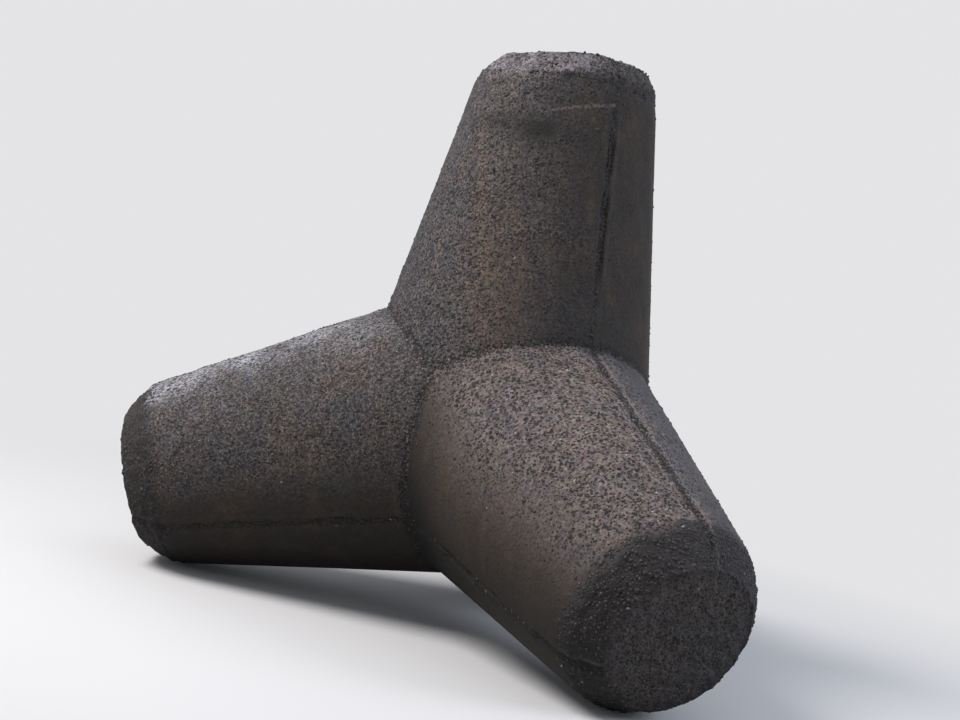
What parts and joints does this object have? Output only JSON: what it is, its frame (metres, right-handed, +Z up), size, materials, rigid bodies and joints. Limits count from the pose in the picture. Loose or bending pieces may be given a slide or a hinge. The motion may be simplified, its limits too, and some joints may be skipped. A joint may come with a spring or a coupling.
{
  "type": "concrete tetrapod",
  "caption": "Cast concrete armour block for sea walls: tapering round legs with bevelled ends spread from one centre, so that it stands on some of them and locks with its neighbours.",
  "frame": {"origin": "the point where the four leg axes meet, which is also the centroid", "axes": "+Z up the upright leg's axis; the left leg points towards -X, and the front leg towards +X and -Y, which is the side that faces the camera"},
  "size_m": [1.9097, 2.129, 1.7738],
  "materials": {
    "concrete": "cast concrete, weathered, with worn aggregate and open pores"
  },
  "bodies": {
    "root": {"tetrapod": "concrete"}
  },
  "joints": []
}
